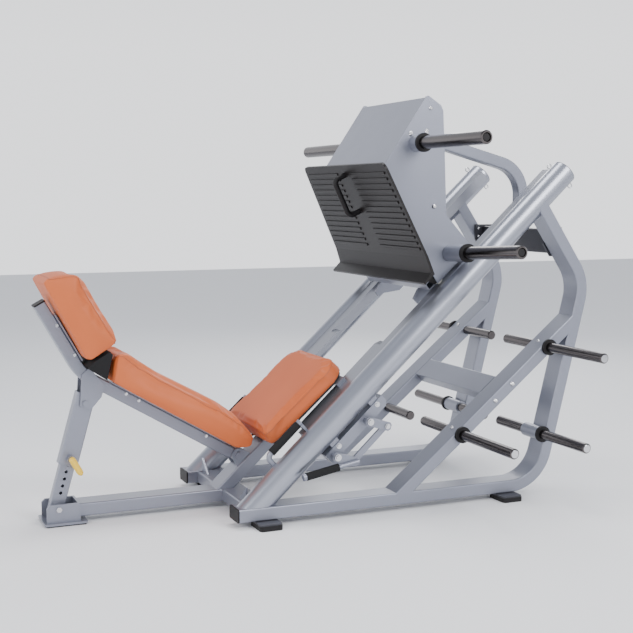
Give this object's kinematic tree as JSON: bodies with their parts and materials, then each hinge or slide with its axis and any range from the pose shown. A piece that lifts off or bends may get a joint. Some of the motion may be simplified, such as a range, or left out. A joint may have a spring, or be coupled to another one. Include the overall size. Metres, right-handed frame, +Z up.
{
  "type": "leg press machine",
  "caption": "Inclined plate-loaded leg press: a foot plate carriage rolls on two sloping guide tubes above a padded seat with a reclining back, lever-worked safety stops and plate horns",
  "frame": {"origin": "under the centre of the bounding box, on the floor", "axes": "+X runs from the headrest end to the uprights, +Z is up, the machine is symmetric about Y = 0 except for the yellow pull pin"},
  "size_m": [2.1875, 1.6108, 1.6101],
  "materials": {
    "frame_paint": "satin metallic",
    "bright_tube": "gloss metallic",
    "polished_steel": "polished",
    "black_rubber": "matte",
    "black_foam": "matte foam",
    "vinyl": "upholstery vinyl",
    "board": "black painted",
    "nylon": "matte",
    "bolt_steel": "bright",
    "yellow_grip": "gloss"
  },
  "bodies": {
    "frame": {"arch_bumper": "black_rubber", "diagonal_tubes": "frame_paint", "floor_bracket": "frame_paint", "foot_pads": "black_rubber", "foot_tabs": "frame_paint", "frame_bolts": "bolt_steel", "front_cross_tube": "frame_paint", "guide_tracks": "polished_steel", "guide_tubes": "bright_tube", "horn_sleeves": "frame_paint", "left_side_tube": "frame_paint", "mid_cross_tube": "frame_paint", "pivot_bracket": "frame_paint", "right_side_tube": "frame_paint", "seat_board": "board", "seat_brackets": "frame_paint", "seat_handle_grips": "black_foam", "seat_handles": "frame_paint", "seat_pad": "vinyl", "seat_post": "frame_paint", "spine_tube": "frame_paint", "stop_arch": "frame_paint", "stop_brackets": "frame_paint", "storage_collars": "black_rubber", "storage_horns": "polished_steel", "top_cross_tube": "frame_paint", "tube_caps": "black_rubber"},
    "carriage": {"right_side_plate": "frame_paint", "left_side_plate": "frame_paint", "carriage_top_panel": "frame_paint", "foot_plate": "black_rubber", "foot_plate_gussets": "frame_paint", "foot_plate_handle": "frame_paint", "carriage_cross_bars": "frame_paint", "roller_brackets": "frame_paint", "keeper_shoes": "nylon", "carriage_horns": "polished_steel", "horn_bosses": "frame_paint", "carriage_collars": "black_rubber", "carriage_bolts": "bolt_steel"},
    "right_lower_roller_body": {"right_lower_roller": "nylon"},
    "right_upper_roller_body": {"right_upper_roller": "nylon"},
    "left_lower_roller_body": {"left_lower_roller": "nylon"},
    "left_upper_roller_body": {"left_upper_roller": "nylon"},
    "back": {"back_frame": "frame_paint", "back_frame_cap": "black_rubber", "back_hardware": "frame_paint", "back_pad": "vinyl", "headrest_pad": "vinyl"},
    "strut_post_body": {"strut_post": "polished_steel"},
    "strut_sleeve_body": {"strut_sleeve": "frame_paint"},
    "pull_pin_body": {"pull_pin": "yellow_grip"},
    "right_lever_body": {"right_stop_lever": "frame_paint", "right_lever_grip": "black_foam"},
    "right_arm_body": {"right_stop_arm": "frame_paint"},
    "right_link_body": {"right_stop_link": "frame_paint"},
    "left_lever_body": {"left_stop_lever": "frame_paint", "left_lever_grip": "black_foam"},
    "left_arm_body": {"left_stop_arm": "frame_paint"},
    "left_link_body": {"left_stop_link": "frame_paint"}
  },
  "joints": [
    {"name": "carriage_slide", "type": "slide", "parent": "frame", "child": "carriage", "axis": [0.7325, 0, 0.6807], "range_m": [-0.38, 0.1]},
    {"name": "right_lower_roller_spin", "type": "hinge", "parent": "carriage", "child": "right_lower_roller_body", "pos_m": [0.45564, -0.253, 0.89347], "axis": [0, 1, 0], "range_deg": [-1090, 290]},
    {"name": "right_upper_roller_spin", "type": "hinge", "parent": "carriage", "child": "right_upper_roller_body", "pos_m": [0.5831, -0.253, 1.01191], "axis": [0, 1, 0], "range_deg": [-1090, 290]},
    {"name": "left_lower_roller_spin", "type": "hinge", "parent": "carriage", "child": "left_lower_roller_body", "pos_m": [0.45564, 0.253, 0.89347], "axis": [0, 1, 0], "range_deg": [-1090, 290]},
    {"name": "left_upper_roller_spin", "type": "hinge", "parent": "carriage", "child": "left_upper_roller_body", "pos_m": [0.5831, 0.253, 1.01191], "axis": [0, 1, 0], "range_deg": [-1090, 290]},
    {"name": "back_recline", "type": "hinge", "parent": "frame", "child": "back", "pos_m": [-0.3112, 0, 0.2011], "axis": [0, 1, 0], "range_deg": [-9.6, 0]},
    {"name": "strut_tilt", "type": "hinge", "parent": "frame", "child": "strut_post_body", "pos_m": [-1.0242, 0, 0.062], "axis": [0, 1, 0], "range_deg": [-1.2, 0.1]},
    {"name": "strut_slide", "type": "slide", "parent": "strut_post_body", "child": "strut_sleeve_body", "axis": [0.2715, 0, 0.9624], "range_m": [-0.112, 0.001]},
    {"name": "pin_pull", "type": "slide", "parent": "strut_sleeve_body", "child": "pull_pin_body", "axis": [0, -1, 0], "range_m": [0, 0.015], "stiffness_N_per_m": 400},
    {"name": "right_lever_turn", "type": "hinge", "parent": "frame", "child": "right_lever_body", "pos_m": [-0.03442, -0.345, 0.23973], "axis": [0, 1, 0], "range_deg": [0, 40]},
    {"name": "right_arm_turn", "type": "hinge", "parent": "frame", "child": "right_arm_body", "pos_m": [0.1011, -0.345, 0.36566], "axis": [0, 1, 0], "range_deg": [0, 40]},
    {"name": "right_link_turn", "type": "hinge", "parent": "right_lever_body", "child": "right_link_body", "pos_m": [0.03822, -0.369, 0.21738], "axis": [0, 1, 0], "range_deg": [-40, 0]},
    {"name": "left_lever_turn", "type": "hinge", "parent": "frame", "child": "left_lever_body", "pos_m": [-0.03442, 0.345, 0.23973], "axis": [0, 1, 0], "range_deg": [0, 40]},
    {"name": "left_arm_turn", "type": "hinge", "parent": "frame", "child": "left_arm_body", "pos_m": [0.1011, 0.345, 0.36566], "axis": [0, 1, 0], "range_deg": [0, 40]},
    {"name": "left_link_turn", "type": "hinge", "parent": "left_lever_body", "child": "left_link_body", "pos_m": [0.03822, 0.369, 0.21738], "axis": [0, 1, 0], "range_deg": [-40, 0]}
  ],
  "couplings": [
    {"joint": "right_lower_roller_spin", "follows": "carriage_slide", "rad_per_m": 50},
    {"joint": "right_upper_roller_spin", "follows": "carriage_slide", "rad_per_m": 50},
    {"joint": "right_arm_turn", "follows": "right_lever_turn", "ratio": 1},
    {"joint": "right_link_turn", "follows": "right_lever_turn", "ratio": -1},
    {"joint": "left_lower_roller_spin", "follows": "carriage_slide", "rad_per_m": 50},
    {"joint": "left_upper_roller_spin", "follows": "carriage_slide", "rad_per_m": 50},
    {"joint": "left_arm_turn", "follows": "left_lever_turn", "ratio": 1},
    {"joint": "left_link_turn", "follows": "left_lever_turn", "ratio": -1},
    {"joint": "strut_tilt", "follows": "back_recline", "ratio": 0.1104},
    {"joint": "strut_slide", "follows": "back_recline", "m_per_rad": 0.6513}
  ]
}
